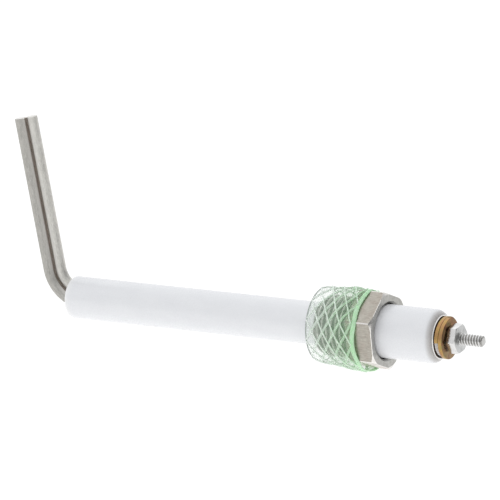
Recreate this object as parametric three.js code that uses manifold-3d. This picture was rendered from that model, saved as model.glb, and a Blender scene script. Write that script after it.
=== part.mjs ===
// Ignition electrode: two bent steel rods in a stepped ceramic insulator, held in a threaded
// hexagon shell, with a screw terminal behind and a plastic net sleeve over the thread.
// Millimetres. +X runs along the insulator towards the terminal, +Z is up, and the rods bend
// up, parallel to the XZ plane. The origin is on the axis, in the plane of the hexagon's seat face.
import * as THREE from 'three';
import { mergeVertices } from 'three/addons/utils/BufferGeometryUtils.js';
import Module from 'manifold-3d';

const wasm = await Module();
wasm.setup();

const turn = 2 * Math.PI;
const gap = 0.3;

// electrode rods
const rodDiameter = 3.4;
const rodSpacing = 3.6;
const pairTurn = 31 * Math.PI / 180;
const bendRadius = 9.7;
const bendAngle = 82 * Math.PI / 180;
const bendStart = -95.9;
const rodRise = 47.1;
const rodEnd = -20.3;
const rodSides = 14;
const rodStep = 2.6;

// ceramic insulator
const slimDiameter = 12.7;
const stoutDiameter = 15.88;
const insulatorFront = -99.1;
const insulatorStep = 2.4;
const insulatorRear = 26;
const frontRound = 0.9;
const rearRound = 2.4;
const boreDiameter = 9.2;
const boreShoulder = -8.0;

// terminal
const studDiameter = 3.5;
const studTip = 39.75;
const studFront = -13.7;
const studPoint = 0.7;
const nutAcrossFlats = 7.94;
const nutHeight = 2.7;
const nutTurn = -27 * Math.PI / 180;
const flatWasherDiameter = 13;
const flatWasherThickness = 0.4;
const lockWasherDiameter = 12.5;
const lockWasherWidth = 2.8;
const lockWasherThickness = 1.05;
const lockWasherRise = 1.7;
const lockWasherTurns = 1.24;
const washerBore = 4.4;
const nutChamfer = 0.4;
const stackGap = 0.15;

// threaded shell
const threadDiameter = 18;
const threadReach = 12.2;
const threadChamfer = 0.9;
const threadTaper = 0.05;
const threadMouth = { flare: 1.4, depth: 0.4 };
const hexAcrossFlats = 21;
const hexLength = 8.5;
const hexChamfer = 0.7;
const hexFaceDiameter = 21.8;
const hexTurn = 4.5 * Math.PI / 180;
const shellSeat = 1.2;
const shellClearance = 0.35;
const boreMouth = 0.5;
const cementGroove = { start: 3.6, end: 6.2, radius: 9.3 };
const gasketRing = { outer: 8, inner: 6.7 };

// net sleeve
const sleeveLeft = -13.2;
const sleeveRight = 3.3;
const sleeveWall = 0.5;
const sleeveFreeRadius = 11;
const sleeveStretch = 12.9;
const sleeveNeck = { start: -6, end: -1.6, rise: 0.4, ease: 0.3 };

// hidden inside the insulator
const cementPlug = { front: -93, rear: -87 };
const coupling = { front: -26, rear: boreShoulder - gap, diameter: 8.5, rodDepth: 6, studDepth: 5.6 };

// A solid of revolution about X from its [x, radius] outline. The outline closes on itself.
function turned(outline, sides = 40) {
  const points = outline.map(([x, radius]) => new THREE.Vector2(radius, x));
  points.push(points[0].clone());
  const geometry = new THREE.LatheGeometry(points, sides);
  geometry.rotateZ(-Math.PI / 2);
  return closed(geometry);
}

// A plain ring or disc about X.
function ring(start, end, outer, inner, sides) {
  return turned([[start, inner], [start, outer], [end, outer], [end, inner]], sides);
}

// A round bar along X, off the axis by an offset towards one of the two rods.
function bar(start, end, radius, offset = 0, sides = 24) {
  const geometry = new THREE.CylinderGeometry(radius, radius, end - start, sides);
  geometry.rotateZ(-Math.PI / 2);
  geometry.translate((start + end) / 2, offset * Math.sin(pairTurn), offset * Math.cos(pairTurn));
  return closed(geometry);
}

// A hexagon bar along X.
function hexBar(start, end, acrossFlats, angle) {
  const corner = acrossFlats / Math.sqrt(3);
  const geometry = new THREE.CylinderGeometry(corner, corner, end - start, 6);
  geometry.rotateZ(-Math.PI / 2);
  geometry.rotateX(angle);
  geometry.translate((start + end) / 2, 0, 0);
  return closed(geometry);
}

// Keeps position only, with shared vertices merged and no zero-area faces.
function closed(geometry) {
  geometry.deleteAttribute('normal');
  geometry.deleteAttribute('uv');
  const merged = mergeVertices(geometry, 1e-4);
  const index = merged.index.array;
  const kept = [];
  for (let i = 0; i < index.length; i += 3) {
    const [a, b, c] = [index[i], index[i + 1], index[i + 2]];
    if (a !== b && b !== c && c !== a) kept.push(a, b, c);
  }
  merged.setIndex(kept);
  return merged;
}

function solid(geometry) {
  return new wasm.Manifold(new wasm.Mesh({
    numProp: 3,
    vertProperties: new Float32Array(geometry.attributes.position.array),
    triVerts: new Uint32Array(geometry.index.array),
  }));
}

function shape(manifold) {
  const mesh = manifold.getMesh();
  const geometry = new THREE.BufferGeometry();
  geometry.setAttribute('position', new THREE.BufferAttribute(mesh.vertProperties, 3));
  geometry.setIndex(new THREE.BufferAttribute(mesh.triVerts, 1));
  return geometry;
}

// Straight inside the insulator, then a bend and a straight rise. side is -1 or +1. The plane
// through the two straight rods is turned about X by pairTurn from the plane of their bends.
class RodPath extends THREE.Curve {
  constructor(side) {
    super();
    this.y = side * rodSpacing / 2 * Math.sin(pairTurn);
    this.z = side * rodSpacing / 2 * Math.cos(pairTurn);
    this.radius = bendRadius - this.z;
    this.straight = rodEnd - bendStart;
    this.arc = this.radius * bendAngle;
    this.total = this.straight + this.arc + rodRise;
  }

  getPoint(t, target = new THREE.Vector3()) {
    const s = t * this.total;
    if (s < this.straight) return target.set(rodEnd - s, this.y, this.z);
    const angle = Math.min((s - this.straight) / this.radius, bendAngle);
    const rise = Math.max(s - this.straight - this.arc, 0);
    const x = bendStart - this.radius * Math.sin(angle) - rise * Math.cos(angle);
    const z = bendRadius - this.radius * Math.cos(angle) + rise * Math.sin(angle);
    return target.set(x, this.y, z);
  }
}

function rod(side) {
  const path = new RodPath(side);
  const section = new THREE.Shape();
  for (let i = 0; i < rodSides; i++) {
    const angle = (i + 0.5) * turn / rodSides;
    const x = rodDiameter / 2 * Math.cos(angle);
    const y = rodDiameter / 2 * Math.sin(angle);
    if (i === 0) section.moveTo(x, y);
    else section.lineTo(x, y);
  }
  section.closePath();
  const steps = Math.round(path.total / rodStep);
  return closed(new THREE.ExtrudeGeometry(section, { steps, extrudePath: path }));
}

// The two rods' holes, wide enough to clear them.
function rodHoles(start, end) {
  const radius = rodDiameter / 2 + gap;
  const upper = solid(bar(start, end, radius, rodSpacing / 2));
  return upper.add(solid(bar(start, end, radius, -rodSpacing / 2)));
}

function rodCoupling() {
  const { front, rear, diameter, rodDepth, studDepth } = coupling;
  const body = solid(bar(front, rear, diameter / 2, 0, 32));
  const studHole = solid(bar(rear - studDepth, rear + 1, studDiameter / 2 + gap));
  return shape(body.subtract(rodHoles(front - 1, front + rodDepth)).subtract(studHole));
}

function frontCement() {
  const { front, rear } = cementPlug;
  const plug = solid(bar(front, rear, boreDiameter / 2 - gap, 0, 32));
  return shape(plug.subtract(rodHoles(front - 1, rear + 1)));
}

// Points of a quarter round from one direction to another, about a centre.
function roundOver(x, radius, size, from, to, steps = 5) {
  const points = [];
  for (let i = 0; i <= steps; i++) {
    const angle = from + (to - from) * i / steps;
    points.push([x + size * Math.cos(angle), radius + size * Math.sin(angle)]);
  }
  return points;
}

function insulator() {
  const slim = slimDiameter / 2;
  const stout = stoutDiameter / 2;
  const bore = boreDiameter / 2;
  const studBore = studDiameter / 2 + gap;
  return turned([
    [insulatorFront, bore],
    ...roundOver(insulatorFront + frontRound, slim - frontRound, frontRound, Math.PI, Math.PI / 2, 3),
    [insulatorStep, slim],
    [insulatorStep + 0.8, stout],
    ...roundOver(insulatorRear - rearRound, stout - rearRound, rearRound, Math.PI / 2, 0),
    [insulatorRear, studBore],
    [boreShoulder, studBore],
    [boreShoulder, bore],
  ], 48);
}

function shellBody() {
  const thread = threadDiameter / 2;
  const front = solid(turned([
    [-threadReach, thread - threadChamfer],
    [threadChamfer - threadReach, thread - threadTaper],
    [0, thread],
    [0.5, thread],
    [0.5, 1],
    [-threadReach, 1],
  ], 48));
  const corner = hexAcrossFlats / Math.sqrt(3);
  const envelope = solid(turned([
    [0, 1],
    [0, corner + gap],
    [hexLength - hexChamfer, corner],
    [hexLength, hexFaceDiameter / 2],
    [hexLength, 1],
  ], 72));
  const hexagon = solid(hexBar(0, hexLength, hexAcrossFlats, hexTurn)).intersect(envelope);
  const slimBore = slimDiameter / 2 + shellClearance;
  const stoutBore = stoutDiameter / 2 + shellClearance;
  const cavity = solid(turned([
    [-threadReach - 1, 0],
    [-threadReach - 1, slimBore + threadMouth.flare],
    [-threadReach + threadMouth.depth, slimBore],
    [shellSeat, slimBore],
    [shellSeat, stoutBore],
    [cementGroove.start, stoutBore],
    [cementGroove.start, cementGroove.radius],
    [cementGroove.end, cementGroove.radius],
    [cementGroove.end, stoutBore],
    [hexLength - boreMouth, stoutBore],
    [hexLength + 0.5, stoutBore + boreMouth + 0.5],
    [hexLength + 0.5, 0],
  ], 48));
  return shape(front.add(hexagon).subtract(cavity));
}

function seatGasket() {
  return ring(shellSeat + gap, insulatorStep - gap, gasketRing.outer, gasketRing.inner);
}

// The cement that locks the insulator in, in the groove inside the hexagon.
function retainingCement() {
  const { start, end, radius } = cementGroove;
  return ring(start + gap, end - gap, radius - gap, stoutDiameter / 2 + gap);
}

const flatWasherStart = insulatorRear + stackGap;
const lockWasherLeft = flatWasherStart + flatWasherThickness + stackGap;
const nutStart = lockWasherLeft + lockWasherThickness + lockWasherRise + stackGap;

function flatWasher() {
  const end = flatWasherStart + flatWasherThickness;
  return ring(flatWasherStart, end, flatWasherDiameter / 2, washerBore / 2);
}

// A flat bar coiled round the axis for a little more than a turn, with its ends apart.
function lockWasher() {
  const segments = 54;
  const sweep = turn * lockWasherTurns;
  const middle = (lockWasherDiameter - lockWasherWidth) / 2;
  const geometry = new THREE.BoxGeometry(1, lockWasherThickness, lockWasherWidth, segments, 1, 1);
  const points = geometry.attributes.position;
  for (let i = 0; i < points.count; i++) {
    const along = points.getX(i) + 0.5;
    const angle = along * sweep;
    const radius = middle - points.getZ(i);
    const x = lockWasherLeft + lockWasherThickness / 2 + points.getY(i) + along * lockWasherRise;
    points.setXYZ(i, x, -radius * Math.cos(angle), radius * Math.sin(angle));
  }
  return closed(geometry);
}

function terminalNut() {
  const start = nutStart;
  const end = nutStart + nutHeight;
  const corner = nutAcrossFlats / Math.sqrt(3);
  const flat = nutAcrossFlats / 2;
  const envelope = solid(turned([
    [start, 0],
    [start, flat - gap / 2],
    [start + nutChamfer, corner + gap / 2],
    [end - nutChamfer, corner + gap / 2],
    [end, flat - gap / 2],
    [end, 0],
  ], 48));
  const hole = solid(bar(start - 1, end + 1, studDiameter / 2 + gap));
  return shape(solid(hexBar(start, end, nutAcrossFlats, nutTurn)).intersect(envelope).subtract(hole));
}

function terminalStud() {
  const radius = studDiameter / 2;
  return turned([
    [studFront, 0],
    [studFront, radius],
    [studTip - studPoint, radius],
    [studTip, radius - studPoint],
    [studTip, 0],
  ], 24);
}

// The net sleeve as a plain wall: free over the thread, stretched over the hexagon's front.
function netSleeve() {
  const outer = [
    [sleeveLeft, sleeveFreeRadius],
    [sleeveNeck.start, sleeveFreeRadius + sleeveNeck.rise],
    [sleeveNeck.end, sleeveStretch - sleeveNeck.ease],
    [sleeveRight, sleeveStretch],
  ];
  const inner = outer.map(([x, radius]) => [x, radius - sleeveWall]).reverse();
  return turned([...outer, ...inner], 40);
}

const finishes = {
  rod: { color: 0xb0aea8, roughness: 0.42, metalness: 1 },
  ceramic: { color: 0xeeeef2, roughness: 0.18, metalness: 0 },
  shell: { color: 0xaea39a, roughness: 0.4, metalness: 1 },
  bright: { color: 0xd2d4d4, roughness: 0.22, metalness: 1 },
  zincYellow: { color: 0xb58d4c, roughness: 0.3, metalness: 1 },
  cement: { color: 0xd8d4c8, roughness: 0.9, metalness: 0 },
  gasket: { color: 0xb87346, roughness: 0.45, metalness: 1 },
  net: { color: 0xaee6ae, roughness: 0.25, metalness: 0, transparent: true, opacity: 0.55 },
};

const assembly = new THREE.Group();

function place(name, geometry, finish) {
  const mesh = new THREE.Mesh(geometry, new THREE.MeshStandardMaterial(finishes[finish]));
  mesh.name = name;
  assembly.add(mesh);
}

place('electrode_rod_outer', rod(-1), 'rod');
place('electrode_rod_inner', rod(1), 'rod');
place('rod_coupling', rodCoupling(), 'bright');
place('front_cement', frontCement(), 'cement');
place('terminal_stud', terminalStud(), 'bright');
place('insulator', insulator(), 'ceramic');
place('seat_gasket', seatGasket(), 'gasket');
place('retaining_cement', retainingCement(), 'cement');
place('shell_body', shellBody(), 'shell');
place('terminal_flat_washer', flatWasher(), 'bright');
place('split_lock_washer', lockWasher(), 'zincYellow');
place('terminal_nut', terminalNut(), 'bright');
place('thread_protector_sleeve', netSleeve(), 'net');

export default assembly;
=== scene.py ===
import math

import bmesh
import bpy
from mathutils import Matrix, Vector


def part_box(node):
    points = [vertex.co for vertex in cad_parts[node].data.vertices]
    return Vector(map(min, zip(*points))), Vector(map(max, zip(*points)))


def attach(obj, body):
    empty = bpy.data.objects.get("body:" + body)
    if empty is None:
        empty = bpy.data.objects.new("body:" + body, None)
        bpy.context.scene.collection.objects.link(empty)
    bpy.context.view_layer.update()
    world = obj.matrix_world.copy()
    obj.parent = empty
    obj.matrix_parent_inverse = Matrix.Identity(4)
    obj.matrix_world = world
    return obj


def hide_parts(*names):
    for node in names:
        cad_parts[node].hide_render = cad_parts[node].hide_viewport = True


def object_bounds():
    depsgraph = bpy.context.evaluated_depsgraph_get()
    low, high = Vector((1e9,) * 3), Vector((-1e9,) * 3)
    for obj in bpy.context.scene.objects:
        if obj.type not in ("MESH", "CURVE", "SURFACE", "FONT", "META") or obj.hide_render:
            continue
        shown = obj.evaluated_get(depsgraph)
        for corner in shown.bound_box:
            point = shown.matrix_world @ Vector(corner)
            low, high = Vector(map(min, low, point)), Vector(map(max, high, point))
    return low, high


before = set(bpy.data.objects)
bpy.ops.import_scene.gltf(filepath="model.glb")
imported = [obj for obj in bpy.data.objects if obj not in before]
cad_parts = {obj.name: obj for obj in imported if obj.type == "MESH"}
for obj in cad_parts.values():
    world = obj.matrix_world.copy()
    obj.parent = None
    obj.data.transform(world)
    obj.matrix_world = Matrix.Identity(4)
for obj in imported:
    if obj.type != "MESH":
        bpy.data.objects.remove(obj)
cad_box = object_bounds()

# Lengths are in mm along the insulator's axis X, or radii about it, unless a comment says otherwise.
# Round pieces are made of rows: an (x, radius) pair, or a function that gives it for an angle.
# Angles go from -Y up towards +Z.
MM = 0.001
TURN = 2 * math.pi
SIXTH = TURN / 6


def along(node):
    """Where a CAD node starts and ends along X."""
    low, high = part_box(node)
    return low.x / MM, high.x / MM


def outer(node):
    """The radius of a CAD node that is round about X."""
    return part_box(node)[1].z / MM


# ---------------------------------------------------------------- mesh helpers

ROUND_SIDES = 96
CORNER_SPLIT = math.radians(1.0)
EASED_STEPS = 3
WELD_METRES = 2e-7
SHARP_DEGREES = 22


def at(x, radius, angle):
    """The point at x and radius, at an angle round X, in metres."""
    return Vector((x, -radius * math.cos(angle), radius * math.sin(angle))) * MM


def round_angles(sides):
    """Angles of a full turn, the last one on the first."""
    return [TURN * i / sides for i in range(sides + 1)]


def hexagon_angles(first_corner, steps):
    """Angles round a hexagon, with one close to each corner on both sides."""
    inside = [SIXTH * i / steps for i in range(1, steps)]
    offsets = [CORNER_SPLIT, *inside, SIXTH - CORNER_SPLIT]
    angles = [first_corner + SIXTH * k + offset for k in range(6) for offset in offsets]
    return [*angles, angles[0] + TURN]


def arc(x, radius, size, start, end, steps=8):
    """Points of an arc about (x, radius). In degrees, 0 points along X and 90 outwards."""
    points = []
    for i in range(steps + 1):
        angle = math.radians(start + (end - start) * i / steps)
        points.append((x + size * math.cos(angle), radius + size * math.sin(angle)))
    return points


def eased(outline, size):
    """A closed outline with each corner rounded off by about size."""
    points = []
    for i, corner in enumerate(outline):
        here = Vector(corner)
        before = Vector(outline[i - 1]) - here
        after = Vector(outline[(i + 1) % len(outline)]) - here
        start = here + before.normalized() * min(size, before.length / 2)
        end = here + after.normalized() * min(size, after.length / 2)
        for step in range(EASED_STEPS + 1):
            t = step / EASED_STEPS
            points.append(start * (1 - t) ** 2 + here * 2 * t * (1 - t) + end * t ** 2)
    return [*points, points[0]]


def skin(mesh, grid):
    """Faces between the neighbouring rings of a grid of points."""
    rings = [[mesh.verts.new(point) for point in ring] for ring in grid]
    for first, second in zip(rings, rings[1:]):
        for i in range(len(first) - 1):
            mesh.faces.new((first[i], first[i + 1], second[i + 1], second[i]))


def finished(mesh, name, material, sharp=SHARP_DEGREES):
    """Closes a bmesh's seams and makes it an object with one material, smooth but for its sharp edges."""
    bmesh.ops.remove_doubles(mesh, verts=mesh.verts, dist=WELD_METRES)
    bmesh.ops.recalc_face_normals(mesh, faces=mesh.faces)
    data = bpy.data.meshes.new(name)
    mesh.to_mesh(data)
    mesh.free()
    data.shade_smooth()
    data.set_sharp_from_angle(angle=math.radians(sharp))
    data.materials.append(material)
    made = bpy.data.objects.new(name, data)
    bpy.context.scene.collection.objects.link(made)
    return made


def turned(name, rows, material, angles=None):
    """A skin of revolution about X, or near it, through rows."""
    angles = angles or round_angles(ROUND_SIDES)
    mesh = bmesh.new()
    skin(mesh, [[at(*(row(a) if callable(row) else row), a) for a in angles] for row in rows])
    return finished(mesh, name, material)


def faced(piece, *choices):
    """Gives more materials to some faces. Each choice is a material and a test that takes a face's centre,
    in mm, and its normal. A later choice wins."""
    for index, (material, chosen) in enumerate(choices, start=1):
        piece.data.materials.append(material)
        for face in piece.data.polygons:
            if chosen(face.center / MM, face.normal):
                face.material_index = index


def placed(piece, body, slot, *nodes):
    """Ties a piece to its body and hides the CAD nodes that it stands for. slot, its material slot, is not
    used.
    """
    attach(piece, body)
    if nodes:
        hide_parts(*nodes)


# ---------------------------------------------------------------- screw threads

# The parts of a pitch that the crest and the root take up.
CREST_SHARE = 0.16
ROOT_SHARE = 0.2


def thread_profile(major, depth):
    """A thread's radius at points of its pitch: crest, flank, root, flank."""
    flank = (1 - CREST_SHARE - ROOT_SHARE) / 2
    minor = major - depth
    return [(0, major), (CREST_SHARE, major), (CREST_SHARE + flank, minor), (1 - flank, minor), (1, major)]


def between(table, place):
    """The value of a table of (place, value) at a place, on straight lines."""
    if place <= table[0][0]:
        return table[0][1]
    for (start, first), (end, second) in zip(table, table[1:]):
        if place <= end:
            return first + (second - first) * (place - start) / (end - start)
    return table[-1][1]


def thread_rows(start, end, pitch, profile, limits):
    """Rows of a right-hand thread from start to end. A row leans by a pitch in a turn, so the rows begin and
    end outside that stretch and are held back to it. limits(x, radius) gives the radius left at x once the
    thread's ends are cut."""
    def row(base):
        def point(angle):
            x = min(max(base - pitch * angle / TURN, start), end)
            radius = between(profile, (x / pitch + angle / TURN) % 1)
            return x, limits(x, radius)
        return point

    first = math.floor(start / pitch) - 1
    last = math.ceil(end / pitch) + 3
    return [row((turn + place) * pitch) for turn in range(first, last) for place, _ in profile[:-1]]


# ---------------------------------------------------------------- materials

# The colour sockets of a mix node, among those for other kinds of value.
MIX_SHARE = 0
MIX_FIRST = 6
MIX_SECOND = 7
MIX_RESULT = 2


class Recipe:
    """Builds one node material, with short calls for the nodes used here."""

    def __init__(self, name):
        self.material = bpy.data.materials.new(name)
        self.material.use_nodes = True
        self.tree = self.material.node_tree
        self.shader = self.tree.nodes["Principled BSDF"]

    def node(self, kind, **settings):
        made = self.tree.nodes.new(kind)
        for key, value in settings.items():
            setattr(made, key, value)
        return made

    def link(self, source, target):
        self.tree.links.new(source, target)

    def set(self, **values):
        for key, value in values.items():
            self.shader.inputs[key.replace("_", " ")].default_value = value

    def place(self, stretch=(1, 1, 1), attribute=None):
        """Coordinates in mm on the piece, times stretch. A bent rod gives its straightened place as an
        attribute."""
        mapping = self.node("ShaderNodeMapping")
        mapping.inputs["Scale"].default_value = [s / MM for s in stretch]
        if attribute:
            source = self.node("ShaderNodeAttribute", attribute_name=attribute).outputs["Vector"]
        else:
            source = self.node("ShaderNodeTexCoord").outputs["Object"]
        self.link(source, mapping.inputs["Vector"])
        return mapping.outputs["Vector"]

    def across(self, start, end):
        """The share of the way along X, from start to end, at which a point lies."""
        split = self.node("ShaderNodeSeparateXYZ")
        self.link(self.place(), split.inputs["Vector"])
        made = self.node("ShaderNodeMapRange")
        made.inputs["From Min"].default_value = start
        made.inputs["From Max"].default_value = end
        self.link(split.outputs["X"], made.inputs["Value"])
        return made.outputs["Result"]

    def noise(self, place, scale, detail=3.0, roughness=0.5, distortion=0.0):
        made = self.node("ShaderNodeTexNoise")
        made.inputs["Scale"].default_value = scale
        made.inputs["Detail"].default_value = detail
        made.inputs["Roughness"].default_value = roughness
        made.inputs["Distortion"].default_value = distortion
        self.link(place, made.inputs["Vector"])
        return made.outputs["Fac"]

    def ramp(self, value, *stops):
        """A colour ramp through (place, colour) stops; a single number is a grey."""
        made = self.node("ShaderNodeValToRGB")
        ramp = made.color_ramp
        while len(ramp.elements) < len(stops):
            ramp.elements.new(0.5)
        for element, (place, colour) in zip(ramp.elements, stops):
            element.position = place
            grey = isinstance(colour, (int, float))
            element.color = (colour, colour, colour, 1) if grey else (*colour, 1)
        self.link(value, made.inputs["Fac"])
        return made.outputs["Color"]

    def mix(self, share, first, second, kind="MIX"):
        """A mix of two colours. Each value is a socket, a number or a colour."""
        made = self.node("ShaderNodeMix", data_type="RGBA", blend_type=kind)
        for value, index in ((share, MIX_SHARE), (first, MIX_FIRST), (second, MIX_SECOND)):
            target = made.inputs[index]
            if isinstance(value, bpy.types.NodeSocket):
                self.link(value, target)
            elif isinstance(value, (int, float)):
                target.default_value = value
            else:
                target.default_value = (*value, 1)
        return made.outputs[MIX_RESULT]

    def bump(self, height, strength, distance=0.02):
        """Bump from a height, on top of the bumps so far; distance is in mm."""
        made = self.node("ShaderNodeBump")
        made.inputs["Strength"].default_value = strength
        made.inputs["Distance"].default_value = distance * MM
        self.link(height, made.inputs["Height"])
        if self.shader.inputs["Normal"].is_linked:
            self.link(self.shader.inputs["Normal"].links[0].from_socket, made.inputs["Normal"])
        self.link(made.outputs["Normal"], self.shader.inputs["Normal"])

    def colour(self, socket):
        self.link(socket, self.shader.inputs["Base Color"])

    def rough(self, socket):
        self.link(socket, self.shader.inputs["Roughness"])


# The two rods lie side by side, and the pair is turned about X.
ROD_RADIUS = 1.7
ROD_SPACING = 3.41
PAIR_TURN = math.radians(31)


def electrode_steel(name, low, high, flank, side):
    """Drawn heat-resisting steel: satin, with a fine grain along the rod and a few dull patches, with
    painted shade in the groove between the rods, and painted light and shade, of tone flank, on the flank
    beside the groove. side is -1 for the outer rod, 1 for the inner."""
    recipe = Recipe(name)
    recipe.set(Metallic=1.0)
    streaks = recipe.noise(recipe.place((0.2, 1, 1), "straightened"), 4.0, 5, 0.7)
    patches = recipe.noise(recipe.place((0.35, 1, 1), "straightened"), 0.45, 4)
    grain = recipe.noise(recipe.place((0.6, 1, 1), "straightened"), 7.0, 4, 0.6)
    tone = recipe.ramp(streaks, (0.3, low), (0.7, high))
    grainy = recipe.mix(recipe.ramp(grain, (0.4, 0.0), (0.75, 0.5)), tone, low)
    patchy = recipe.mix(recipe.ramp(patches, (0.42, 0.0), (0.68, 0.4)), grainy, high)
    near = recipe.node("ShaderNodeVectorMath", operation="DOT_PRODUCT")
    recipe.link(recipe.place(attribute="straightened"), near.inputs[0])
    towards_other_rod = Vector((0, math.sin(PAIR_TURN), -math.cos(PAIR_TURN))) * -side / ROD_RADIUS
    near.inputs[1].default_value = towards_other_rod
    edge, slope, root = (0.32, 0.295, 0.27), (0.52, 0.48, 0.44), (0.74, 0.69, 0.64)
    # Painted shade in the groove between the rods, and painted light and shade on the flank beside it.
    groove_shade = recipe.ramp(near.outputs["Value"], (0.68, flank), (0.75, edge), (0.88, slope), (0.96, root))
    reach = recipe.ramp(near.outputs["Value"], (0.0, 0.0), (0.5, 0.5), (0.7, 0.75), (0.78, 1.0))
    recipe.colour(recipe.mix(reach, patchy, groove_shade))
    recipe.rough(recipe.ramp(patches, (0.3, 0.52), (0.7, 0.64)))
    recipe.bump(streaks, 0.3, 0.02)
    recipe.bump(grain, 0.3, 0.02)
    return recipe.material


def inner_steel():
    """Turned steel with fine tool rings round it."""
    recipe = Recipe("inner_steel")
    recipe.set(Metallic=1.0, Roughness=0.35)
    rings = recipe.noise(recipe.place((9, 0.3, 0.3)), 1.0, 3)
    recipe.colour(recipe.ramp(rings, (0.3, 0.42), (0.7, 0.58)))
    recipe.bump(rings, 0.3)
    return recipe.material


def refractory_cement():
    """Matt, grainy off-white cement."""
    recipe = Recipe("refractory_cement")
    grain = recipe.noise(recipe.place(), 4.0, 6, 0.7)
    recipe.colour(recipe.ramp(grain, (0.3, (0.55, 0.52, 0.46)), (0.7, (0.76, 0.73, 0.67))))
    recipe.set(Roughness=0.92)
    recipe.bump(grain, 0.7, 0.1)
    return recipe.material


def copper_gasket():
    """Soft copper, dulled in patches."""
    recipe = Recipe("copper_gasket")
    recipe.set(Metallic=1.0)
    patches = recipe.noise(recipe.place(), 0.9, 5)
    recipe.colour(recipe.ramp(patches, (0.35, (0.32, 0.13, 0.06)), (0.65, (0.62, 0.31, 0.17))))
    recipe.rough(recipe.ramp(patches, (0.3, 0.55), (0.7, 0.32)))
    recipe.bump(patches, 0.3, 0.05)
    return recipe.material


# The stretch where painted shade darkens the ceramic more and more towards the washers, and the one where
# painted light makes its glaze paler towards the front edge.
PAINTED_SHADE_START, PAINTED_SHADE_END = 24.4, 26
PAINTED_LIGHT_START, PAINTED_LIGHT_END = -96.6, -99.1


def glazed_ceramic():
    """White glaze over alumina: even, glossy, slightly wavy, with faint pores, made paler at its front edge
    by painted light and darkened at the washers by painted shade."""
    recipe = Recipe("glazed_ceramic")
    waves = recipe.noise(recipe.place((0.35, 1, 1)), 0.35, 2)
    pores = recipe.noise(recipe.place(), 5.0, 2)
    glaze = recipe.ramp(waves, (0.3, (0.825, 0.835, 0.858)), (0.7, (0.85, 0.86, 0.88)))
    # Painted shade darkens the glaze towards the washers, and painted light pales it towards the front edge.
    painted_shade_share = recipe.ramp(recipe.across(PAINTED_SHADE_START, PAINTED_SHADE_END), (0.0, 0.0), (0.45, 0.4), (1.0, 0.8))
    painted_light_share = recipe.ramp(recipe.across(PAINTED_LIGHT_START, PAINTED_LIGHT_END), (0.0, 0.0), (0.5, 0.35), (0.8, 0.8))
    painted_light_glaze = recipe.mix(painted_light_share, glaze, (0.95, 0.95, 0.95))
    recipe.colour(recipe.mix(painted_shade_share, painted_light_glaze, (0.36, 0.33, 0.30)))
    recipe.rough(recipe.ramp(pores, (0.35, 0.24), (0.65, 0.32)))
    recipe.set(Specular_IOR_Level=0.45, Coat_Weight=0.25, Coat_Roughness=0.12)
    recipe.bump(waves, 0.12, 0.15)
    recipe.bump(pores, 0.05, 0.02)
    return recipe.material


def drawn_steel(name, low, high):
    """The hexagon's sides as drawn: slightly brown, with marks along them and small dark specks."""
    recipe = Recipe(name)
    recipe.set(Metallic=1.0)
    marks = recipe.noise(recipe.place((0.18, 1, 1)), 4.0, 5, 0.65)
    patches = recipe.noise(recipe.place(), 0.32, 4)
    specks = recipe.noise(recipe.place(), 2.6, 4)
    tone = recipe.ramp(marks, (0.3, low), (0.7, high))
    browned = recipe.mix(1, tone, (0.98, 0.89, 0.88), "MULTIPLY")
    dulled = recipe.mix(recipe.ramp(patches, (0.45, 0.0), (0.7, 0.6)), tone, browned)
    recipe.colour(recipe.mix(recipe.ramp(specks, (0.66, 0.0), (0.74, 0.7)), dulled, (0.16, 0.14, 0.12)))
    recipe.rough(recipe.ramp(patches, (0.3, 0.36), (0.7, 0.52)))
    recipe.bump(marks, 0.4, 0.02)
    recipe.bump(specks, 0.25, 0.03)
    return recipe.material


def turned_steel(name, low, high, roughness):
    """Faces cut on a lathe: grey, with the gloss stretched across their fine rings."""
    recipe = Recipe(name)
    recipe.set(Metallic=1.0, Roughness=roughness, Anisotropic=0.6)
    tangent = recipe.node("ShaderNodeTangent", direction_type="RADIAL", axis="X")
    recipe.link(tangent.outputs["Tangent"], recipe.shader.inputs["Tangent"])
    haze = recipe.noise(recipe.place(), 0.7, 5)
    recipe.colour(recipe.ramp(haze, (0.3, low), (0.7, high)))
    recipe.bump(haze, 0.2, 0.03)
    return recipe.material


def bright_steel(name, low, high):
    """Bright nickel plate with faint handling marks."""
    recipe = Recipe(name)
    recipe.set(Metallic=1.0)
    haze = recipe.noise(recipe.place(), 0.8, 4)
    marks = recipe.noise(recipe.place((1, 0.5, 0.5)), 6.0, 3)
    recipe.colour(recipe.ramp(haze, (0.3, low), (0.7, high)))
    recipe.rough(recipe.ramp(haze, (0.3, 0.16), (0.7, 0.3)))
    recipe.bump(marks, 0.15, 0.02)
    return recipe.material


def glowing_pale_steel():
    """The flat washer's faces: pale matt nickel plate, with a glow of painted light that makes it look
    white.
    """
    recipe = Recipe("glowing_pale_steel")
    # Painted light: the faces glow so that they look white.
    recipe.set(Metallic=0.2, Emission_Color=(1, 1, 1, 1), Emission_Strength=0.3)
    haze = recipe.noise(recipe.place(), 0.8, 4)
    recipe.colour(recipe.ramp(haze, (0.3, 0.82), (0.7, 0.92)))
    recipe.rough(recipe.ramp(haze, (0.3, 0.5), (0.7, 0.65)))
    recipe.bump(haze, 0.15, 0.02)
    return recipe.material


# How far inside a thread's root the scale of its painted shade and highlight begins.
ROOT_MARGIN = 0.15


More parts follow.
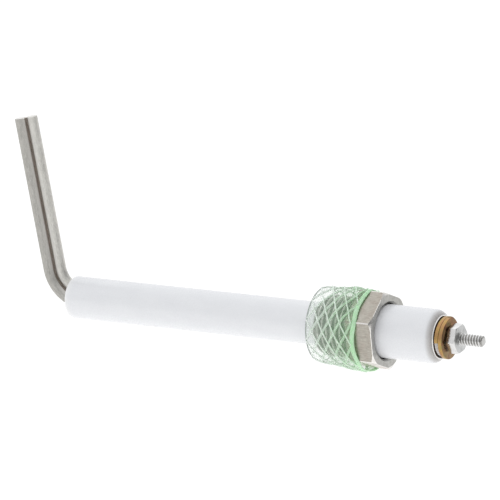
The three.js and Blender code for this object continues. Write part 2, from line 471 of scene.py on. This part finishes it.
def lit_and_shaded_thread(name, root, crest, dull, plain, crest_highlight):
    """A thread with painted shade at its root and a painted highlight on its crest, at those radii, and
    plain inside the root's radius, on the end face."""
    recipe = Recipe(name)
    recipe.set(Metallic=1.0, Roughness=0.24)
    radius = recipe.node("ShaderNodeVectorMath", operation="LENGTH")
    recipe.link(recipe.place((0, 1, 1)), radius.inputs[0])
    share = recipe.node("ShaderNodeMapRange")
    share.inputs["From Min"].default_value = root - ROOT_MARGIN
    share.inputs["From Max"].default_value = crest
    recipe.link(radius.outputs["Value"], share.inputs["Value"])
    # Painted shade darkens the root and a painted highlight brightens the crest.
    painted_light_and_shade = recipe.ramp(share.outputs["Result"], (0.1, plain), (0.22, dull), (0.8, plain), (1.0, crest_highlight))
    haze = recipe.noise(recipe.place(), 1.6, 4)
    recipe.colour(recipe.mix(recipe.ramp(haze, (0.45, 0.0), (0.75, 0.35)), painted_light_and_shade, dull))
    recipe.bump(haze, 0.2, 0.03)
    return recipe.material


def yellow_zinc(name, olive, gold, brown):
    """Yellow passivated zinc plate, with bands of three tones round it and dull patches."""
    recipe = Recipe(name)
    recipe.set(Metallic=1.0)
    bands = recipe.noise(recipe.place((1.6, 0.35, 0.35)), 1.0, 4, 0.55, 0.6)
    patches = recipe.noise(recipe.place(), 0.7, 4)
    tone = recipe.ramp(bands, (0.34, olive), (0.46, gold), (0.56, brown), (0.68, olive))
    recipe.colour(recipe.mix(recipe.ramp(patches, (0.4, 0.0), (0.7, 0.5)), tone, gold))
    recipe.rough(recipe.ramp(patches, (0.3, 0.22), (0.7, 0.4)))
    recipe.bump(patches, 0.3, 0.03)
    return recipe.material


# The stretch over which the sleeve's colour changes.
FREE_END, PULLED_END = -13, 2


def net_plastic(name, free, pulled, alpha, glow=0.0):
    """Soft polyethylene, of one colour at its free end and another where it is pulled over the hexagon."""
    recipe = Recipe(name)
    cloud = recipe.noise(recipe.place(), 0.8, 3)
    reach = recipe.ramp(recipe.across(FREE_END, PULLED_END), (0.05, 0.0), (0.85, 1.0))
    stretched = recipe.mix(reach, free, pulled)
    recipe.colour(recipe.mix(recipe.ramp(cloud, (0.4, 0.0), (0.7, 0.25)), stretched, free))
    recipe.set(Alpha=alpha, Roughness=0.22, Specular_IOR_Level=0.7)
    recipe.set(Subsurface_Weight=glow, Subsurface_Radius=(1, 1, 1), Subsurface_Scale=1.5 * MM)
    # Painted light: the faint glow in the pulled colour stands in for light that comes through the plastic.
    recipe.set(Emission_Color=(*pulled, 1), Emission_Strength=0.1 * glow)
    recipe.bump(cloud, 0.25, 0.15)
    return recipe.material


# ---------------------------------------------------------------- electrode rods

# The bend's radius is that of the line midway between the rods; the rise is the straight length above it.
BEND_RADIUS = 9.7
BEND_ANGLE = math.radians(82)
BEND_START = -95.9
ROD_RISE = 47.1
ROD_CHAMFER = 0.2
ROD_SIDES = 40
ROD_STEP = 0.9
TIP_NORMAL = 0.9
POINT_DIGITS = 7


def is_cut_tip(centre, normal):
    return centre.z > ROD_RISE and normal.z > TIP_NORMAL


def electrode_rod(name, side, material, tip_material, node):
    """A round bar, straight in the insulator, then bent up. side is -1 for the outer rod, 1 for the inner
    one."""
    end = along(node)[1]
    sideways = side * ROD_SPACING / 2 * math.sin(PAIR_TURN)
    bend = BEND_RADIUS - side * ROD_SPACING / 2 * math.cos(PAIR_TURN)
    straight = end - BEND_START
    total = straight + bend * BEND_ANGLE + ROD_RISE

    def centre(s):
        """The axis at a length s from the inner end, and the direction away from the bend's centre."""
        angle = min(max(s - straight, 0) / bend, BEND_ANGLE)
        level = min(s, straight)
        rise = max(s - straight - bend * BEND_ANGLE, 0)
        x = end - level - bend * math.sin(angle) - rise * math.cos(angle)
        z = BEND_RADIUS - bend * math.cos(angle) + rise * math.sin(angle)
        return Vector((x, sideways, z)), Vector((-math.sin(angle), 0, -math.cos(angle)))

    steps = round(total / ROD_STEP)
    length = total - 2 * ROD_CHAMFER
    rows = [(ROD_CHAMFER + length * i / steps, ROD_RADIUS) for i in range(steps + 1)]
    tip = ROD_RADIUS - ROD_CHAMFER
    rows = [(0, 0), (0, tip), *rows, (total, tip), (total, 0)]
    mesh = bmesh.new()
    grid = []
    straightened = {}
    for s, radius in rows:
        middle, away = centre(s)
        ring = []
        for angle in round_angles(ROD_SIDES):
            across = math.cos(angle)
            point = (middle + (away * math.sin(angle) + Vector((0, across, 0))) * radius) * MM
            ring.append(point)
            key = point.to_tuple(POINT_DIGITS)
            straightened[key] = (s * MM, across * radius * MM, math.sin(angle) * radius * MM)
        grid.append(ring)
    skin(mesh, grid)
    made = finished(mesh, name, material)
    layer = made.data.attributes.new("straightened", "FLOAT_VECTOR", "POINT")
    for vertex in made.data.vertices:
        place = straightened.get(vertex.co.to_tuple(POINT_DIGITS))
        layer.data[vertex.index].vector = place or vertex.co
    faced(made, (tip_material, is_cut_tip))
    placed(made, "electrode", "electrode_steel", node)


# ---------------------------------------------------------------- insulator

SLIM_RADIUS = 6.35
STEP_START = 2.4
STEP_LENGTH = 0.8
STEP_FILLET = 0.4
STEP_ROUND = 0.5
FRONT_ROUND = 0.9
REAR_ROUND = 2.4
BORE_RADIUS = 4.6
BORE_ROUND = 0.5
BORE_SHOULDER = -8.0
STUD_BORE = 2.05
STUD_BORE_ROUND = 0.3


def insulator(material):
    """A slim tube, a cone up to its stout rear end, and two bores that meet at a shoulder."""
    front, rear = along("insulator")
    stout = outer("insulator")
    rows = [
        *arc(front + BORE_ROUND, BORE_RADIUS + BORE_ROUND, BORE_ROUND, 270, 180, 5),
        *arc(front + FRONT_ROUND, SLIM_RADIUS - FRONT_ROUND, FRONT_ROUND, 180, 90),
        *arc(STEP_START - STEP_FILLET, SLIM_RADIUS + STEP_FILLET, STEP_FILLET, 270, 330, 4),
        *arc(STEP_START + STEP_LENGTH, stout - STEP_ROUND, STEP_ROUND, 150, 90, 5),
        *arc(rear - REAR_ROUND, stout - REAR_ROUND, REAR_ROUND, 90, 0, 14),
        *arc(rear - STUD_BORE_ROUND, STUD_BORE + STUD_BORE_ROUND, STUD_BORE_ROUND, 0, -90, 4),
        (BORE_SHOULDER, STUD_BORE),
        (BORE_SHOULDER, BORE_RADIUS),
    ]
    made = turned("ceramic_insulator", [*rows, rows[0]], material)
    placed(made, "electrode", "glazed_ceramic", "insulator")


# ---------------------------------------------------------------- threaded shell

SHELL_PITCH = 1.5
SHELL_THREAD_RADIUS = 9.0
SHELL_THREAD_DEPTH = 0.85
SHELL_CHAMFER = 0.9
SHELL_CHAMFER_LENGTH = 1.5
SHELL_RUNOUT = 0.7
RELIEF_WIDTH = 1.2
RELIEF_RADIUS = 8.05
RELIEF_FILLET = 0.25

# The hexagon, whose front the sleeve covers. The corner edge is what its corners lose.
HEX_ACROSS_FLATS = 21.0
HEX_FIRST_CORNER = math.radians(25.5)
HEX_CORNER_EDGE = 0.12
HEX_SEAT_EDGE = 0.15
HEX_SEAT_EDGE_MIDDLE = 0.05
HEX_CHAMFER_CIRCLE = 10.9
HEX_COVERED = 2.8
HEX_STEPS = 14

# The bore, which is wider behind the insulator's seat and has a groove for the cement: start, end, radius.
SHELL_BORE = 6.7
FRONT_MOUTH_LENGTH = 0.4
FRONT_MOUTH_HEIGHT = 0.5
SHELL_SEAT = 1.2
SHELL_REAR_BORE = 8.35
REAR_MOUTH = 0.5
CEMENT_GROOVE = (3.6, 6.2, 9.3)

# What tells the faces apart. The thread, the hexagon and its corners lie outside the first three radii.
# A side's normal leans along X by less than SIDE_LEAN, an end face's by at least END_NORMAL, and the lower
# flat's points down by more than DOWN_NORMAL.
THREAD_INSIDE = 7.8
HEX_INSIDE = 9.5
CORNER_INSIDE = 11.9
SIDE_LEAN = 0.3
END_NORMAL = 0.97
DOWN_NORMAL = 0.85

# A hexagon's end: the slope of the cone that cuts its corners, and the small round edge where they meet,
# with the place of its middle inwards and down from the corner.
CHAMFER_SLOPE = math.radians(28)
END_EDGE_DEPTH = 0.16
END_EDGE_HEIGHT = 0.14
END_EDGE_MIDDLE = (0.05, 0.04)


def hexagon_radius(across_flats, first_corner, edge):
    """A function that gives a hexagon's radius at an angle, with edge taken off its corners."""
    corner = across_flats / math.sqrt(3) - edge

    def radius(angle):
        from_flat = (angle - first_corner) % SIXTH - SIXTH / 2
        return min(across_flats / 2 / math.cos(from_flat), corner)
    return radius


def chamfered_end(radius, face, inward, circle):
    """Rows over a hexagon's end, from its sides to the end face, which is a circle."""
    def row(depth, lift):
        def point(angle):
            edge = radius(angle) - lift
            return face + inward * (max(edge - circle, 0) * math.tan(CHAMFER_SLOPE) + depth), edge
        return point

    return [
        row(END_EDGE_DEPTH, 0),
        row(*END_EDGE_MIDDLE),
        row(0, END_EDGE_HEIGHT),
        lambda angle: (face, min(circle, radius(angle) - END_EDGE_HEIGHT)),
    ]


def is_shell_thread(centre, normal):
    return centre.x < -RELIEF_WIDTH and centre.yz.length > THREAD_INSIDE


def is_hexagon_side(centre, normal):
    return abs(normal.x) < SIDE_LEAN and centre.yz.length > HEX_INSIDE


def is_hexagon_corner(centre, normal):
    return centre.x > HEX_COVERED and abs(normal.x) < SIDE_LEAN and centre.yz.length > CORNER_INSIDE


def is_hexagon_chamfer(centre, normal):
    return SIDE_LEAN <= normal.x < END_NORMAL and centre.yz.length > HEX_INSIDE


def is_lower_flat(centre, normal):
    return is_hexagon_side(centre, normal) and normal.z < -DOWN_NORMAL


def shell_body(material, choices):
    """The thread, its relief, the hexagon behind it, and the bore. choices are those of faced."""
    start, end = along("shell_body")
    radius = hexagon_radius(HEX_ACROSS_FLATS, HEX_FIRST_CORNER, HEX_CORNER_EDGE)
    major = SHELL_THREAD_RADIUS

    def limits(x, thread):
        cut = between([
            (start, major - SHELL_CHAMFER),
            (start + SHELL_CHAMFER_LENGTH, major),
            (-RELIEF_WIDTH - SHELL_RUNOUT, major),
            (-RELIEF_WIDTH, RELIEF_RADIUS),
        ], x)
        return min(thread, cut)

    groove_start, groove_end, groove_radius = CEMENT_GROOVE
    thread = thread_profile(major, SHELL_THREAD_DEPTH)
    rows = [
        (start + FRONT_MOUTH_LENGTH, SHELL_BORE),
        (start, SHELL_BORE + FRONT_MOUTH_HEIGHT),
        *thread_rows(start, -RELIEF_WIDTH, SHELL_PITCH, thread, limits),
        (-RELIEF_WIDTH, RELIEF_RADIUS),
        *arc(-RELIEF_FILLET, RELIEF_RADIUS + RELIEF_FILLET, RELIEF_FILLET, 270, 360, 4),
        lambda a: (0.0, radius(a) - HEX_SEAT_EDGE),
        lambda a: (HEX_SEAT_EDGE_MIDDLE, radius(a) - HEX_SEAT_EDGE_MIDDLE),
        lambda a: (HEX_SEAT_EDGE, radius(a)),
        lambda a: (HEX_COVERED, radius(a)),
        *chamfered_end(radius, end, -1, HEX_CHAMFER_CIRCLE),
        (end, SHELL_REAR_BORE + REAR_MOUTH),
        (end - REAR_MOUTH, SHELL_REAR_BORE),
        (groove_end, SHELL_REAR_BORE),
        (groove_end, groove_radius),
        (groove_start, groove_radius),
        (groove_start, SHELL_REAR_BORE),
        (SHELL_SEAT, SHELL_REAR_BORE),
        (SHELL_SEAT, SHELL_BORE),
        (start + FRONT_MOUTH_LENGTH, SHELL_BORE),
    ]
    made = turned("threaded_shell", rows, material, hexagon_angles(HEX_FIRST_CORNER, HEX_STEPS))
    faced(made, *choices)
    placed(made, "electrode", "shell_steel", "shell_body")


# ---------------------------------------------------------------- terminal

STUD_PITCH = 0.9
STUD_THREAD_DEPTH = 0.48
STUD_THREAD_START = 24.0
STUD_RUNOUT = 0.5
STUD_CHAMFER = 0.25
STUD_ROUND = 0.75
STUD_SIDES = 48


def terminal_stud(material):
    """A bar with a thread on its rear end, whose edge is rounded."""
    start, end = along("terminal_stud")
    radius = outer("terminal_stud")
    profile = thread_profile(radius, STUD_THREAD_DEPTH)

    def limits(x, thread):
        inside = max(STUD_ROUND - (end - x), 0)
        rounded = radius - STUD_ROUND + math.sqrt(max(STUD_ROUND ** 2 - inside ** 2, 0))
        return min(thread, rounded)

    rows = [
        (start, 0),
        (start, radius - STUD_CHAMFER),
        (start + STUD_CHAMFER, radius),
        (STUD_THREAD_START - STUD_RUNOUT, radius),
        *thread_rows(STUD_THREAD_START, end, STUD_PITCH, profile, limits),
        (end, 0),
    ]
    made = turned("threaded_stud", rows, material, round_angles(STUD_SIDES))
    placed(made, "electrode", "bright_steel", "terminal_stud")


WASHER_BORE = 2.2
WASHER_EDGE = 0.14
WASHER_NORMAL = 0.8

# The ring of painted shadow that the coiled washer casts on the flat one's face.
SHADOW_INNER = 5.5
SHADOW_OUTER = 6.15


def is_washer_face(centre, normal):
    return abs(normal.x) > WASHER_NORMAL


def is_washer_centre(centre, normal):
    return is_washer_face(centre, normal) and centre.yz.length < SHADOW_INNER


def is_washer_shadow(centre, normal):
    return is_washer_face(centre, normal) and SHADOW_INNER < centre.yz.length < SHADOW_OUTER


def flat_washer(material, glowing_material, shadow_material):
    """A plain ring, with its own materials inside the coiled washer's painted shadow and on it."""
    start, end = along("terminal_flat_washer")
    edge = outer("terminal_flat_washer")
    rows = eased([
        (start, WASHER_BORE), (start, edge), (end, edge),
        (end, SHADOW_OUTER), (end, SHADOW_INNER), (end, WASHER_BORE),
    ], WASHER_EDGE)
    made = turned("flat_washer", rows, material)
    faced(made, (glowing_material, is_washer_centre), (shadow_material, is_washer_shadow))
    placed(made, "flat_washer", "bright_steel", "terminal_flat_washer")


# The coiled washer's bar, with the width of its rounded edges, and its coil.
LOCK_WASHER_WIDTH = 3.2
LOCK_WASHER_THICKNESS = 1.2
LOCK_WASHER_EDGE = 0.13
LOCK_WASHER_TURNS = 1.24
LOCK_WASHER_STEPS = 136
LOCK_WASHER_SHARP_DEGREES = 40


def lock_washer(edge_material, face_material):
    """A flat bar coiled for a little more than one turn, with its two ends cut off square and apart."""
    start, end = along("split_lock_washer")
    edge = outer("split_lock_washer")
    rise = end - start - LOCK_WASHER_THICKNESS
    inner = edge - LOCK_WASHER_WIDTH
    section = eased([
        (0, inner), (0, edge), (LOCK_WASHER_THICKNESS, edge), (LOCK_WASHER_THICKNESS, inner),
    ], LOCK_WASHER_EDGE)
    middle = (LOCK_WASHER_THICKNESS / 2, (inner + edge) / 2)

    def ring(share, outline):
        angle = share * TURN * LOCK_WASHER_TURNS
        return [at(start + share * rise + x, radius, angle) for x, radius in outline]

    grid = [ring(i / LOCK_WASHER_STEPS, section) for i in range(LOCK_WASHER_STEPS + 1)]
    caps = [ring(share, [middle] * len(section)) for share in (0, 1)]
    mesh = bmesh.new()
    skin(mesh, [caps[0], *grid, caps[1]])
    made = finished(mesh, "lock_washer", edge_material, LOCK_WASHER_SHARP_DEGREES)
    # Its faces take the darker copy of the zinc, painted shade.
    faced(made, (face_material, is_washer_face))
    placed(made, "lock_washer", "yellow_zinc", "split_lock_washer")


NUT_ACROSS_FLATS = 7.94
NUT_FIRST_CORNER = math.radians(-3)
NUT_CORNER_EDGE = 0.06
NUT_STEPS = 10
NUT_PLAY = 0.12

# The nut's chamfer circle, as a share of its width across flats, and the mouth of its threaded hole.
NUT_CIRCLE_SHARE = 1.03
NUT_MOUTH_LENGTH = 0.3
NUT_MOUTH_HEIGHT = 0.1


def is_nut_side(centre, normal):
    return abs(normal.x) < END_NORMAL


def terminal_nut(material, side_material):
    """A hexagon nut, chamfered at both ends, with a thread in its hole."""
    start, end = along("terminal_nut")
    radius = hexagon_radius(NUT_ACROSS_FLATS, NUT_FIRST_CORNER, NUT_CORNER_EDGE)
    circle = NUT_CIRCLE_SHARE * NUT_ACROSS_FLATS / 2
    hole = outer("terminal_stud") + NUT_PLAY
    mouth = hole + NUT_MOUTH_HEIGHT
    profile = thread_profile(hole, STUD_THREAD_DEPTH)

    def limits(x, thread):
        depth = min(x - start, end - x)
        return max(thread, mouth - depth / NUT_MOUTH_LENGTH * (STUD_THREAD_DEPTH + NUT_MOUTH_HEIGHT))

    bore = thread_rows(start, end, STUD_PITCH, profile, limits)
    rows = [
        (start, mouth),
        *reversed(chamfered_end(radius, start, 1, circle)),
        *chamfered_end(radius, end, -1, circle),
        (end, mouth),
        *reversed(bore),
        (start, mouth),
    ]
    made = turned("hex_nut", rows, material, hexagon_angles(NUT_FIRST_CORNER, NUT_STEPS))
    faced(made, (side_material, is_nut_side))
    placed(made, "nut", "bright_steel", "terminal_nut")


# ---------------------------------------------------------------- net sleeve

# The sleeve's wall: its radius along X as it hangs free, and its thickness.
SLEEVE_SHAPE = [(-13.2, 11.0), (-10.5, 11.05), (-6.0, 11.3), (-2.5, 11.9), (0.0, 12.15), (3.4, 12.3)]
SHAPE_EASING = 0.5
FILM = 0.12
FILM_STEPS = 34

# Where the sleeve lies closest on the hexagon, how far round from there it holds, where it starts to turn
# from round to close, and how far outside the hexagon its middle lies.
HUG_MIDDLE = HEX_FIRST_CORNER + 0.75 * SIXTH
HUG_WIDTH = math.radians(180)
HUG_START = -4.0
SLEEVE_LIFT = 0.42

# The sleeve's end reaches further along X where the hexagon stands out more than its middling height.
END_SWAY = 0.7
MIDDLING_HEIGHT = 0.45
NEAR_DEGREES = 4

# The net: how many strands each of its two layers has, how far along X a strand runs while it passes from
# one neighbour's place to the next, and where two strands cross. AHEAD is how far on its direction is taken.
STRANDS = 11
STRAND_ADVANCE = 3.85
CROSSING_X = -3.4
CROSSING_ANGLE = math.radians(40.2)
STRAND_HEIGHT = 0.26
STRAND_START_INSET = 0.3
STRAND_END_INSET = 0.9
STRAND_STEPS = 60
STRAND_SIDES = 12
STRAND_SHARP_DEGREES = 60
AHEAD = 0.05

RIM_SIDES = 16
LEFT_RIM_WIDTH = 0.4
LEFT_RIM_THICKNESS = 0.3
RIGHT_RIM_INSIDE = 1.3
RIGHT_RIM_OUTSIDE = 0.2
RIGHT_RIM_THICKNESS = 0.6


def eased_step(share):
    """0 below 0, 1 above 1, and smooth between."""
    share = min(max(share, 0), 1)
    return share * share * (3 - 2 * share)


def hexagon_near(angle):
    """The hexagon's radius with its corners rounded, as a film pulled over it sees them."""
    hexagon = hexagon_radius(HEX_ACROSS_FLATS, HEX_FIRST_CORNER, 0)
    near = [angle + math.radians(step * NEAR_DEGREES) for step in range(-2, 3)]
    return sum(hexagon(place) for place in near) / len(near)


def swayed(x, angle):
    """Where a place at x comes to lie: the sleeve's end reaches further at the hexagon's corners."""
    raised = hexagon_near(angle) - HEX_ACROSS_FLATS / 2
    return x + END_SWAY * (raised - MIDDLING_HEIGHT) * eased_step((x - HUG_START) / -HUG_START)


def sleeve_radius(x, angle):
    """The middle of the sleeve's wall: round over the thread, and pulled close to one side of the
    hexagon."""
    smooth = [x + step * SHAPE_EASING for step in range(-3, 4)]
    free = sum(between(SLEEVE_SHAPE, place) for place in smooth) / len(smooth)
    close = hexagon_near(angle) + SLEEVE_LIFT
    away = abs((angle - HUG_MIDDLE + math.pi) % TURN - math.pi)
    share = eased_step(1 - away / HUG_WIDTH) * eased_step((x - HUG_START) / -HUG_START)
    return free + min(close - free, 0) * share


def sleeve_row(x, lift):
    """A row of the sleeve at x, at a lift off the middle of its wall."""
    return lambda angle: (swayed(x, angle), sleeve_radius(x, angle) + lift)


def sleeve_film(material):
    """The thin wall between the net's strands."""
    start, end = along("thread_protector_sleeve")
    places = [start + (end - start) * i / FILM_STEPS for i in range(FILM_STEPS + 1)]
    outside = [sleeve_row(x, FILM / 2) for x in places]
    inside = [sleeve_row(x, -FILM / 2) for x in reversed(places)]
    rows = [*outside, *inside, outside[0]]
    placed(turned("sleeve_film", rows, material), "sleeve", "green_net", "thread_protector_sleeve")


def strands(name, hand, width, lift, material):
    """One layer of the net: strands that all wind the same way, by hand, which is 1 or -1. lift is how far
    their middle lies off the wall's."""
    start, end = along("thread_protector_sleeve")
    start, end = start + STRAND_START_INSET, end - STRAND_END_INSET
    slope = TURN / STRANDS / STRAND_ADVANCE * hand
    mesh = bmesh.new()
    for strand in range(STRANDS):
        grid = []
        for i in range(STRAND_STEPS + 1):
            x = start + (end - start) * i / STRAND_STEPS
            angle = CROSSING_ANGLE + TURN / STRANDS * strand + slope * (x - CROSSING_X)
            radius = sleeve_radius(x, angle) + lift
            middle = at(x, radius, angle)
            outward = at(0, 1, angle).normalized()
            ahead = (at(x + AHEAD, radius, angle + slope * AHEAD) - middle).normalized()
            side = outward.cross(ahead)
            ring = []
            for turn in round_angles(STRAND_SIDES):
                wide = side * math.cos(turn) * width / 2
                high = outward * math.sin(turn) * STRAND_HEIGHT
                ring.append(middle + (wide + high) * MM)
            grid.append(ring)
        ends = [[sum(ring[:-1], Vector()) / (len(ring) - 1)] * len(ring) for ring in (grid[0], grid[-1])]
        skin(mesh, [ends[0], *grid, ends[1]])
    placed(finished(mesh, name, material, STRAND_SHARP_DEGREES), "sleeve", "green_net")


def sleeve_rim(name, start, end, thickness, material):
    """A thicker round edge of the sleeve."""
    middle = (start + end) / 2
    rows = []
    for turn in round_angles(RIM_SIDES):
        rows.append(sleeve_row(middle + (end - start) / 2 * math.cos(turn), thickness / 2 * math.sin(turn)))
    placed(turned(name, rows, material), "sleeve", "green_net")


# ---------------------------------------------------------------- build

# The outer rod takes a darker copy of the inner rod's steel: painted shade, as less light reaches it.
dull = electrode_steel(
    "shaded_electrode_steel",
    low=(0.32, 0.315, 0.29), high=(0.66, 0.645, 0.61), flank=(0.86, 0.84, 0.80), side=-1,
)
inner_rod_steel = electrode_steel(
    "electrode_steel",
    low=(0.48, 0.47, 0.44), high=(0.90, 0.89, 0.84), flank=(0.68, 0.67, 0.64), side=1,
)
# Painted highlight: the rods' cut tips and the hexagon's chamfer and corners take this pale steel as
# highlights on those edges.
highlight_edge_steel = bright_steel("highlight_edge_steel", low=(0.80, 0.775, 0.74), high=(0.93, 0.91, 0.88))
electrode_rod("electrode_bar_outer", -1, dull, highlight_edge_steel, "electrode_rod_outer")
electrode_rod("electrode_bar_inner", 1, inner_rod_steel, highlight_edge_steel, "electrode_rod_inner")
insulator(glazed_ceramic())

turned_face = turned_steel(
    "turned_steel", low=(0.41, 0.405, 0.38), high=(0.55, 0.545, 0.52), roughness=0.42,
)
shell_thread = lit_and_shaded_thread(
    "shell_thread", SHELL_THREAD_RADIUS - SHELL_THREAD_DEPTH, SHELL_THREAD_RADIUS,
    dull=(0.16, 0.155, 0.14), plain=(0.42, 0.41, 0.39), crest_highlight=(0.88, 0.86, 0.83),
)
sides = drawn_steel("drawn_steel", low=(0.34, 0.315, 0.275), high=(0.55, 0.525, 0.465))
# Painted light: the hexagon's lower flat takes a paler copy of the drawn steel, as it faces the bright
# floor.
painted_light_flat = drawn_steel("painted_light_flat_steel", low=(0.62, 0.59, 0.55), high=(0.84, 0.81, 0.77))
shell_body(turned_face, (
    (shell_thread, is_shell_thread), (sides, is_hexagon_side), (painted_light_flat, is_lower_flat),
    (highlight_edge_steel, is_hexagon_chamfer), (highlight_edge_steel, is_hexagon_corner),
))

bright = bright_steel("bright_steel", low=(0.74, 0.735, 0.73), high=(0.86, 0.855, 0.85))
cut = turned_steel("cut_nickel", low=(0.46, 0.465, 0.46), high=(0.62, 0.625, 0.62), roughness=0.35)
stud_radius = outer("terminal_stud")
terminal_stud(lit_and_shaded_thread(
    "stud_thread", stud_radius - STUD_THREAD_DEPTH, stud_radius,
    dull=(0.42, 0.415, 0.40), plain=(0.54, 0.535, 0.52), crest_highlight=(0.90, 0.90, 0.90),
))
# Painted shadow: a dark ring where the coiled washer shades the flat one's face.
painted_shadow = turned_steel("washer_painted_shadow", low=(0.05, 0.05, 0.05), high=(0.16, 0.15, 0.14), roughness=0.4)
flat_washer(bright, glowing_pale_steel(), painted_shadow)
zinc = yellow_zinc(
    "yellow_zinc", olive=(0.33, 0.28, 0.11), gold=(0.48, 0.31, 0.11), brown=(0.42, 0.22, 0.12),
)
# Painted shade: the coiled washer's faces take a darker copy of the zinc, for the shade beside the flat
# washer and the nut.
shaded_zinc = yellow_zinc(
    "shaded_yellow_zinc", olive=(0.20, 0.16, 0.07), gold=(0.27, 0.16, 0.07), brown=(0.18, 0.08, 0.045),
)
lock_washer(zinc, shaded_zinc)
terminal_nut(cut, bright_steel("nut_sides", low=(0.70, 0.695, 0.685), high=(0.83, 0.825, 0.815)))

clear = (0.88, 0.93, 0.89)
glow = 0.6
film = net_plastic("net_film", (0.80, 0.88, 0.81), (0.46, 0.76, 0.45), alpha=0.22, glow=glow)
strand = net_plastic("net_strand", clear, (0.70, 0.93, 0.70), alpha=0.8, glow=glow)
inner_strand = net_plastic("net_inner_strand", clear, (0.56, 0.84, 0.55), alpha=0.6, glow=glow)
# Painted shade: the clear left rim is dark grey at its free end, for the dark outline a clear edge shows.
shaded_clear_rim = net_plastic("net_shaded_clear_rim", (0.42, 0.47, 0.44), clear, alpha=0.75)
green_rim = net_plastic("net_green_rim", clear, (0.50, 0.88, 0.50), alpha=0.85, glow=glow)
sleeve_film(film)
strands("net_outer_strands", hand=-1, width=0.46, lift=0.3, material=strand)
strands("net_inner_strands", hand=1, width=0.8, lift=0.05, material=inner_strand)
left, right = along("thread_protector_sleeve")
sleeve_rim("sleeve_left_rim", left, left + LEFT_RIM_WIDTH, LEFT_RIM_THICKNESS, shaded_clear_rim)
right_start, right_end = right - RIGHT_RIM_INSIDE, right + RIGHT_RIM_OUTSIDE
sleeve_rim("sleeve_right_rim", right_start, right_end, RIGHT_RIM_THICKNESS, green_rim)

# The pieces inside keep their CAD shapes and only take materials.
for node, material in (
    ("rod_coupling", inner_steel()),
    ("front_cement", refractory_cement()),
    ("retaining_cement", refractory_cement()),
    ("seat_gasket", copper_gasket()),
):
    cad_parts[node].data.materials.clear()
    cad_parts[node].data.materials.append(material)


# ---------------------------------------------------------------- studio

# The floor's width and its gap under the part, in metres.
FLOOR_SIZE = 8.0
FLOOR_GAP = 0.2 * MM
STUDIO_WHITE = (0.995, 1.0, 1.012, 1)

# The directions from the part back to the camera and up in its picture, and its distance in metres. It aims
# at the box's middle, but for AIM_RIGHT and AIM_UP, in mm across its picture.
CAMERA_BACK = Vector((0.4721, -0.8332, 0.2880)).normalized()
CAMERA_UP = Vector((-0.0960, 0.2762, 0.9563))
CAMERA_DISTANCE = 1.5
CAMERA_LENS = 369.9
AIM_RIGHT = 1.16
AIM_UP = -1.08


def camera():
    """Stands back from the origin along CAMERA_BACK, and turns from there to its aim."""
    data = bpy.data.cameras.new("camera")
    made = bpy.data.objects.new("camera", data)
    bpy.context.scene.collection.objects.link(made)
    data.lens = CAMERA_LENS
    data.clip_start, data.clip_end = 0.01, 50
    right = CAMERA_UP.cross(CAMERA_BACK).normalized()
    middle = (cad_box[0] + cad_box[1]) / 2
    sideways = right * (middle.dot(right) + AIM_RIGHT * MM)
    upward = CAMERA_UP * (middle.dot(CAMERA_UP) + AIM_UP * MM)
    place = CAMERA_BACK * CAMERA_DISTANCE
    back = (place - sideways - upward).normalized()
    right = CAMERA_UP.cross(back).normalized()
    up = back.cross(right)
    made.rotation_mode = "QUATERNION"
    made.location = place
    made.rotation_quaternion = Matrix((right, up, back)).transposed().to_quaternion()
    bpy.context.scene.camera = made


def floor():
    """A matt floor that gives its own white light."""
    recipe = Recipe("pale_floor")
    recipe.set(Base_Color=(0.1, 0.1, 0.1, 1), Roughness=1.0, Specular_IOR_Level=0.0)
    recipe.set(Emission_Color=(1, 1, 1, 1), Emission_Strength=1.0)
    half = FLOOR_SIZE / 2
    level = cad_box[0].z - FLOOR_GAP
    mesh = bpy.data.meshes.new("pale_floor")
    corners = [(-half, -half, level), (half, -half, level), (half, half, level), (-half, half, level)]
    mesh.from_pydata(corners, [], [(0, 1, 2, 3)])
    mesh.materials.append(recipe.material)
    made = bpy.data.objects.new("pale_floor", mesh)
    bpy.context.scene.collection.objects.link(made)


def surroundings():
    """A white studio, brightest above and behind the part, and dark on its open right side."""
    world = bpy.data.worlds.new("studio")
    world.use_nodes = True
    bpy.context.scene.world = world
    nodes, links = world.node_tree.nodes, world.node_tree.links
    place = nodes.new("ShaderNodeTexCoord")
    split = nodes.new("ShaderNodeSeparateXYZ")
    links.new(place.outputs["Generated"], split.inputs["Vector"])

    def level(axis, start, end, low, high):
        """Light that goes from low to high along one axis."""
        made = nodes.new("ShaderNodeMapRange")
        made.interpolation_type = "SMOOTHSTEP"
        for name, value in (("From Min", start), ("From Max", end), ("To Min", low), ("To Max", high)):
            made.inputs[name].default_value = value
        links.new(split.outputs[axis], made.inputs["Value"])
        return made.outputs["Result"]

    strength = level("Z", 0.0, 1.0, 0.82, 1.12)
    for light in (level("X", 0.1, 1.0, 1.0, 0.25), level("Y", -1.0, 0.6, 0.86, 1.15)):
        product = nodes.new("ShaderNodeMath")
        product.operation = "MULTIPLY"
        links.new(strength, product.inputs[0])
        links.new(light, product.inputs[1])
        strength = product.outputs["Value"]
    background = nodes["Background"]
    background.inputs["Color"].default_value = STUDIO_WHITE
    links.new(strength, background.inputs["Strength"])


camera()
floor()
surroundings()
bpy.context.scene.view_settings.view_transform = "Standard"
